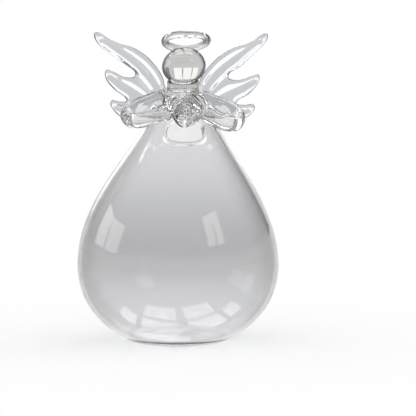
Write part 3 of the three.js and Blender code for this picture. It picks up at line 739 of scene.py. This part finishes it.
def wing_field(flat):
    """Half-thickness squared at flat points (out, above the shoulder), negative outside the outline."""
    number, depth = nearest(flat, WING_PATH)
    way = np.roll(WING_PATH, -1, axis=0) - np.roll(WING_PATH, 1, axis=0)
    off = flat - WING_PATH[number]
    inside = off[:, 0] * way[number, 1] - off[:, 1] * way[number, 0] > 0
    depth = np.where(inside, depth, -depth)
    share = np.clip(depth / WING_EDGE, 0, 1)
    half = WING_HALF_THICKNESS * (1 - (1 - share) ** WING_EDGE_POWER) ** (1 / WING_EDGE_POWER)
    carved = np.zeros(len(flat))
    for bend, (*_, valley, width) in zip(WING_BENDS, WING_VALLEYS):
        carved += (valley * np.exp(-(nearest(flat, bend)[1] / width) ** 2)) ** 4
    return np.where(depth > 0, (half * (1 - carved ** 0.25)) ** 2, depth * WING_HALF_THICKNESS)


def net(values, low, cell):
    """Points and quads of the surface where a grid of values changes sign, with one point for each cell
    that it crosses."""
    inside = values > 0
    shape = np.array(values.shape) - 1
    total = np.zeros((*shape, 3))
    count = np.zeros(shape)
    corner = np.stack(np.meshgrid(*[np.arange(n) for n in shape], indexing="ij"), axis=-1).astype(float)
    for axis in range(3):
        others = [k for k in range(3) if k != axis]
        for sides in ((0, 0), (0, 1), (1, 0), (1, 1)):
            offset = np.zeros(3, int)
            offset[others] = sides
            ahead = offset + (np.arange(3) == axis)
            first, second = (tuple(slice(o, o + n) for o, n in zip(at, shape)) for at in (offset, ahead))
            crosses = inside[first] != inside[second]
            va, vb = values[first], values[second]
            with np.errstate(divide="ignore", invalid="ignore"):
                share = np.where(crosses, va / (va - vb), 0)
            at = corner + offset
            at[..., axis] += share
            total += np.where(crosses[..., None], at, 0)
            count += crosses
    used = count > 0
    number = np.full(shape, -1)
    number[used] = np.arange(used.sum())
    points = total[used] / count[used][:, None] * cell + low
    faces = []
    for axis in range(3):
        others = [k for k in range(3) if k != axis]
        first = [slice(1, n) for n in shape]
        first[axis] = slice(0, shape[axis])
        ahead = list(first)
        ahead[axis] = slice(1, shape[axis] + 1)
        where = np.argwhere(inside[tuple(first)] != inside[tuple(ahead)])
        corners = []
        for sides in ((1, 1), (0, 1), (0, 0), (1, 0)):
            cell_at = where.copy()
            cell_at[:, others] += sides
            corners.append(number[tuple(cell_at.T)])
        faces.append(np.stack(corners, axis=1))
    return points, np.vstack(faces)


def wing_form():
    """Points (out, through, above the shoulder) and faces of a wing: three feathers with soft valleys
    along them and melted edges."""
    low = WING_PATH.min(axis=0) - 3 * WING_CELL
    high = WING_PATH.max(axis=0) + 3 * WING_CELL
    out, up = np.arange(low[0], high[0], WING_CELL), np.arange(low[1], high[1], WING_CELL)
    flat = np.stack(np.meshgrid(out, up, indexing="ij"), axis=-1)
    half_squared = wing_field(flat.reshape(-1, 2)).reshape(flat.shape[:2])
    through = np.arange(-WING_HALF_THICKNESS - 2 * WING_CELL, WING_HALF_THICKNESS + 2.5 * WING_CELL,
                        WING_CELL)
    values = half_squared[:, None, :] - through[None, :, None] ** 2
    points, faces = net(values, np.array([out[0], through[0], up[0]]), WING_CELL)
    tiny = 0.02
    for _ in range(2):  # each point slides onto the exact surface
        here, right, above = (wing_field(points[:, (0, 2)] + step) for step in ((0, 0), (tiny, 0), (0, tiny)))
        rise = np.column_stack([(right - here) / tiny, -2 * points[:, 1], (above - here) / tiny])
        miss = here - points[:, 1] ** 2
        slide = rise * (miss / np.maximum((rise ** 2).sum(axis=1), 0.05))[:, None]
        points -= np.clip(slide, -WING_CELL / 3, WING_CELL / 3)
    return points, faces.tolist()


def pulled(points):
    """The form of the wing on +X: a shorter first feather, and a lower second and third."""
    out, through, up = points.T
    lower = 1 - smooth(up, 9, 15)
    lowest = 1 - smooth(up, -4, 3)
    return np.column_stack([
        out - 1.7 * smooth(out, 20, 34) * (1 - lower) + 0.5 * smooth(out, 18, 29) * lower
        + 1.3 * smooth(out, 16, 27) * lowest,
        through,
        up - 1.5 * smooth(out, 12, 28) * lower,
    ])


def wing(kind, form, finish):
    """A wing on its side of the back. The one on +X is drawn a little differently."""
    points, faces = form
    if kind["side"] > 0:
        points = pulled(points)
    placed = points * (kind["side"], 1, 1) + (0, WING_BACK, SHOULDER_HEIGHT)
    return piece("wing_" + kind["name"], outside_hollow(placed), faces, finish, "pressed_glass")


# Glass

GLASS_IOR = 1.47
SHADOW_TINT = (0.93, 0.935, 0.935)  # what is left of the light in its shadow
# Painted shade by height: the heights in metres between which it runs, then rows of a share of that way, how
# much of the colour is kept there and how much of the darker tint at a graze, the painted dark rims
# Bulb: painted shade, darkest a third of the way up, with fainter dark rims at the foot
BULB_PAINTED_SHADE = (0.0, 0.08), ((0.0, 1.0, 0.5), (0.16, 0.95, 0.95), (0.42, 0.78, 1.0), (0.95, 0.98, 1.0))
# Ball: painted shade, much darker over its lowest sixth and darker towards its top
BALL_PAINTED_SHADE = (0.0977, 0.1121), ((0.0, 0.22, 1.0), (0.1, 0.34, 1.0), (0.165, 0.96, 1.0), (0.8, 0.94, 1.0),
                                  (0.9, 0.8, 1.0), (1.0, 0.7, 1.0))


def emptied_tree(holder):
    """The node tree of a material or a world, with nothing in it."""
    holder.use_nodes = True
    holder.node_tree.nodes.clear()
    return holder.node_tree


def add_node(tree, kind, inputs=(), **settings):
    """Adds a shader node. inputs gives sockets their values, or the outputs that feed them. A node stands
    for its first output."""
    made = tree.nodes.new("ShaderNode" + kind)
    for name, value in settings.items():
        setattr(made, name, value)
    for socket, value in dict(inputs).items():
        if isinstance(value, bpy.types.Node):
            value = value.outputs[0]
        if isinstance(value, bpy.types.NodeSocket):
            tree.links.new(value, made.inputs[socket])
        else:
            made.inputs[socket].default_value = value
    return made


def mixed(tree, share, first, second):
    """Two shaders, of which the second has the share."""
    return add_node(tree, "MixShader", {"Fac": share, 1: first, 2: second})


def either(tree, first, second):
    """The larger of two values."""
    return add_node(tree, "Math", {0: first, 1: second}, operation="MAXIMUM")


def colour_ramp(tree, along, stops):
    """A colour that changes softly along a value. stops are places on the way and their colours."""
    made = add_node(tree, "ValToRGB", {"Fac": along})
    made.color_ramp.interpolation = "EASE"
    while len(made.color_ramp.elements) < len(stops):
        made.color_ramp.elements.new(0.5)
    for element, (position, colour) in zip(made.color_ramp.elements, stops):
        element.position, element.color = position, (*colour, 1)
    return made


def glass(name, clear, edge, rim_shade_span, taken, absorption, ripple, ripple_scale, painted_shade=None):
    """Clear glass. clear is its colour looked straight through and edge the darker one at a grazing look,
    painted shade that draws dark rims along the outlines, with the change over the span given after edge.
    taken and absorption are the colour and strength of its depth, and ripple the unevenness of its surface.
    The last
    argument paints shade by height: it darkens the colour and sets how much of the dark rims is kept."""
    finish = bpy.data.materials.new(name)
    tree = emptied_tree(finish)
    place = add_node(tree, "TexCoord").outputs["Object"]
    facing = add_node(tree, "LayerWeight", {"Blend": 0.5}).outputs["Facing"]
    # Painted shade by height: a ramp over the height darkens the colour and sets how much of the dark rims is
    # kept
    if painted_shade:
        (lowest, highest), rows = painted_shade
        up = add_node(tree, "SeparateXYZ", {"Vector": place}).outputs["Z"]
        height = add_node(tree, "MapRange", {"Value": up, "From Min": lowest, "From Max": highest})
        by_height = colour_ramp(tree, height, [(share, (kept, graze, 1)) for share, kept, graze in rows])
        shares = add_node(tree, "SeparateColor", {"Color": by_height})
        facing = add_node(tree, "Math", {0: facing, 1: shares.outputs["Green"]}, operation="MULTIPLY")
    # Painted shade: the colour turns darker at a grazing look, which draws dark rims along the outlines
    colour = colour_ramp(tree, facing, ((rim_shade_span[0], clear), (rim_shade_span[1], edge)))
    if painted_shade:
        colour = add_node(tree, "VectorMath", {"Vector": colour, "Scale": shares.outputs["Red"]},
                          operation="SCALE")
    waves = add_node(tree, "TexNoise", {"Vector": place, "Scale": ripple_scale, "Detail": 2.0})
    bump = add_node(tree, "Bump", {"Strength": 1.0, "Distance": ripple, "Height": waves})
    body = add_node(tree, "BsdfPrincipled", {"Base Color": colour, "Roughness": 0.0, "IOR": GLASS_IOR,
                                             "Transmission Weight": 1.0, "Normal": bump})
    path = add_node(tree, "LightPath")
    open_glass = add_node(tree, "BsdfTransparent", {"Color": (*SHADOW_TINT, 1)})
    surface = mixed(tree, path.outputs["Is Shadow Ray"], body, open_glass)
    joined = add_node(tree, "Attribute", attribute_name="joint_depth")
    inside = add_node(tree, "Math", {0: joined.outputs["Fac"], 1: JOINT_DEPTH}, operation="GREATER_THAN")
    surface = mixed(tree, inside, surface, add_node(tree, "BsdfTransparent"))
    depth = add_node(tree, "VolumeAbsorption", {"Color": (*taken, 1), "Density": absorption})
    add_node(tree, "OutputMaterial", {"Surface": surface, "Volume": depth})
    return finish


def build_vase():
    warm = (0.24, 0.22, 0.18)
    # In each glass the second colour and the span after it are painted shade: the dark rims at a grazing look
    blown = glass("blown_glass", (0.88, 0.881, 0.888), (0.3, 0.3, 0.3), (0.3, 1), (0.2, 0.21, 0.25), 18,
                  0.00012, 60, BULB_PAINTED_SHADE)
    solid = glass("solid_glass", (0.8, 0.8, 0.792), (0.08, 0.08, 0.078), (0.3, 0.92), warm, 12, 0.00003, 130)
    gathered = glass("gathered_glass", (0.84, 0.84, 0.832), (0.08, 0.08, 0.078), (0.34, 0.96), warm, 16,
                     0.00002, 160)
    ball = glass("ball_glass", (0.79, 0.79, 0.782), (0.004, 0.004, 0.004), (0.34, 0.65), warm, 24,
                 0.00004, 90, BALL_PAINTED_SHADE)
    ring = glass("ring_glass", (0.64, 0.64, 0.632), (0.03, 0.03, 0.029), (0.26, 0.85), warm, 20, 0.00003, 130)
    pressed = glass("pressed_glass", (0.67, 0.674, 0.688), (0.02, 0.02, 0.022), (0.12, 0.62),
                    (0.2, 0.24, 0.34), 70, 0.00002, 120)
    # The collar's glass is darker than the other solid glass: painted shade under the head
    shaded_collar = glass("shaded_collar_glass", (0.6, 0.6, 0.587), (0.16, 0.16, 0.155), (0.3, 1), warm, 20, 0.00006, 220)
    pieces = [vase_body(blown), neck_collar(shaded_collar), head_ball(ball), halo_ring(ring)]
    form = wing_form()
    for kind in ARMS:
        pieces += [arm(kind, solid), wing(kind, form, pressed)]
    pieces += [rose_calyx(gathered), rose_bud(gathered)]
    pieces += [rose_petal(number, petal, gathered) for number, petal in enumerate(PETALS, 1)]
    mark_joints(pieces)


# Stage: a pale floor, a white background and soft panels of light

FLOOR_SIZE = 60  # in metres
FLOOR_DROP = 0.0002  # in metres, under the foot
FLOOR_SHADE, FLOOR_LIFT = 0.74, 0.27  # its paint, and the glow that lifts it to white for the eye
MIRRORED_SHADE, MIRRORED_LIFT = 0.34, 0.665  # the same for reflections and looks through glass
ROOM_GREY = (0.47, 0.475, 0.485, 1)
ROOM_START = (4, 15)  # degrees above the horizon between which white turns to that grey
# Windows and walls of the room: glow, pairs of elevations, then of azimuths, in degrees as seen from HEART
HEART = Vector((0, 0, 0.08))
WINDOW_DISTANCE = 3.0  # in metres
WINDOWS = (
    ("window_behind", 1.7, ((6, 33),), ((-23, -9.5), (-8, 7.5), (9, 25))),
    ("window_left", 2.4, ((8, 28),), ((-100, -80), (-78, -58))),
    ("window_side", 0.8, ((8, 33),), ((-54, -36),)),
    ("window_right", 2.4, ((18, 41),), ((128, 138), (139, 150))),
    ("dark_wall", 0.35, ((5, 36),), ((36, 50),)),
    ("pale_wall", 0.95, ((-1, 34),), ((-34, -23.5), (26, 36))),
)
# Ceiling window: its height in metres, its glow, and each row's depth and panes in shares of the height
CEILING_HEIGHT = 2.5
CEILING_GLOW = 4.5
CEILING_ROWS = (
    ((-0.12, 0.3), ((-0.5, -0.06), (0.04, 0.5))),
    ((0.4, 1.1), ((-0.95, -0.6), (-0.5, -0.06), (0.04, 0.5), (0.6, 0.95))),
)


def floor_finish():
    """Pale floor, lifted to the white of the background for the eye, and more so for reflections and
    looks through glass, where its shadow would be seen many times over."""
    finish = bpy.data.materials.new("pale_floor")
    tree = emptied_tree(finish)

    def paint(shade, lift):
        surface = add_node(tree, "BsdfDiffuse", {"Color": (shade, shade, shade, 1)})
        glow = add_node(tree, "Emission", {"Strength": lift})
        return add_node(tree, "AddShader", {0: surface, 1: glow})

    path = add_node(tree, "LightPath")
    through = either(tree, path.outputs["Is Glossy Ray"], path.outputs["Is Transmission Ray"])
    plain, seen = paint(FLOOR_SHADE, 0.0), paint(FLOOR_SHADE, FLOOR_LIFT)
    by_eye = mixed(tree, path.outputs["Is Camera Ray"], plain, seen)
    by_glass = mixed(tree, through, by_eye, paint(MIRRORED_SHADE, MIRRORED_LIFT))
    add_node(tree, "OutputMaterial", {"Surface": by_glass})
    return finish


def flat_panel(name, centre, towards, width, height, finish):
    """A flat sheet of the stage, in metres, facing a point."""
    mesh = bpy.data.meshes.new(name)
    w, h = width / 2, height / 2
    mesh.from_pydata([(-w, -h, 0), (w, -h, 0), (w, h, 0), (-w, h, 0)], [], [(0, 1, 2, 3)])
    mesh.materials.append(finish)
    panel = add_object(name, mesh)
    panel.location = centre
    panel.rotation_euler = (Vector(towards) - Vector(centre)).to_track_quat("Z", "Y").to_euler()
    return panel


def light_finish(name, strength):
    finish = bpy.data.materials.new(name)
    tree = emptied_tree(finish)
    glow = add_node(tree, "Emission", {"Strength": strength})
    add_node(tree, "OutputMaterial", {"Surface": glow})
    return finish


def light_panel(name, centre, towards, width, height, finish):
    """A panel that only reflections and looks through glass show."""
    panel = flat_panel(name, centre, towards, width, height, finish)
    panel.visible_camera = False
    panel.visible_diffuse = False


def direction(azimuth, elevation):
    """Unit vector. Azimuth 0 is straight ahead of the camera side, +Y, and 90 is +X."""
    a, e = math.radians(azimuth), math.radians(elevation)
    return Vector((math.sin(a) * math.cos(e), math.cos(a) * math.cos(e), math.sin(e)))


def window(name, glow, elevations, azimuths):
    """A window of soft light, out of the camera's sight, with bars between its panes."""
    finish = light_finish(name, glow)
    for number, (start, end) in enumerate(azimuths, 1):
        for row, (low, high) in enumerate(elevations, 1):
            at = HEART + direction((start + end) / 2, (low + high) / 2) * WINDOW_DISTANCE
            width = (2 * WINDOW_DISTANCE * math.tan(math.radians(end - start) / 2)
                     * math.cos(math.radians(low + high) / 2))
            height = 2 * WINDOW_DISTANCE * math.tan(math.radians(high - low) / 2)
            light_panel(f"{name}_{number}_{row}", at, HEART, width, height, finish)


def ceiling_window():
    """A window in the ceiling, with bars between its panes; the bowl mirrors it."""
    finish = light_finish("window_above", CEILING_GLOW)
    for row, ((front, back), panes) in enumerate(CEILING_ROWS, 1):
        for column, (left, right) in enumerate(panes, 1):
            at = Vector(((left + right) / 2, (front + back) / 2, 1)) * CEILING_HEIGHT
            light_panel(f"window_above_{row}_{column}", at, at - Vector((0, 0, 1)),
                        (right - left) * CEILING_HEIGHT, (back - front) * CEILING_HEIGHT, finish)


def world_light():
    """White for the eye and for the floor's light, and a grey room above the horizon for the glass."""
    world = bpy.data.worlds.new("studio")
    bpy.context.scene.world = world
    tree = emptied_tree(world)
    place = add_node(tree, "TexCoord").outputs["Generated"]
    up = add_node(tree, "SeparateXYZ", {"Vector": place}).outputs["Z"]
    start, end = (math.sin(math.radians(elevation)) for elevation in ROOM_START)
    ceiling = add_node(tree, "MapRange", {"Value": up, "From Min": start, "From Max": end},
                       interpolation_type="SMOOTHSTEP")
    room = add_node(tree, "Mix", {"Factor": ceiling, "A": (1, 1, 1, 1), "B": ROOM_GREY}, data_type="RGBA")
    mirrored = add_node(tree, "Background", {"Color": room.outputs["Result"]})
    plain = add_node(tree, "Background", {"Color": (1, 1, 1, 1)})
    path = add_node(tree, "LightPath")
    direct = either(tree, path.outputs["Is Camera Ray"], path.outputs["Is Diffuse Ray"])
    add_node(tree, "OutputWorld", {"Surface": mixed(tree, direct, mirrored, plain)})


def build_stage():
    floor = flat_panel("floor", (0, 0, 0), (0, 0, 1), FLOOR_SIZE, FLOOR_SIZE, floor_finish())
    floor.location.z = -FLOOR_DROP
    world_light()
    for row in WINDOWS:
        window(*row)
    ceiling_window()


def build_camera():
    """Photograph's view: level with the cone, 0.6 m away and a little to the figure's right."""
    focal, axis_px, horizon_px, frame_px = 1582, 178, 131.8, 416
    distance, height, azimuth = 0.6, 0.08, math.radians(-6)
    camera = bpy.data.cameras.new("camera")
    camera.sensor_width = 36
    camera.lens = focal / frame_px * camera.sensor_width
    camera.clip_start = 0.01
    viewer = add_object("camera", camera)
    viewer.location = (math.sin(azimuth) * distance, -math.cos(azimuth) * distance, height)
    ahead = Vector((-math.sin(azimuth), math.cos(azimuth), 0))
    across = Vector((math.cos(azimuth), math.sin(azimuth), 0))
    look = (ahead + across * (frame_px / 2 - axis_px) / focal
            - Vector((0, 0, 1)) * (frame_px / 2 - horizon_px) / focal)
    viewer.rotation_euler = look.to_track_quat("-Z", "Y").to_euler()
    bpy.context.scene.camera = viewer


build_vase()
build_stage()
build_camera()

scene = bpy.context.scene
scene.view_settings.view_transform = "Standard"
scene.cycles.max_bounces = 28
scene.cycles.transmission_bounces = 28
scene.cycles.glossy_bounces = 10
scene.cycles.transparent_max_bounces = 40
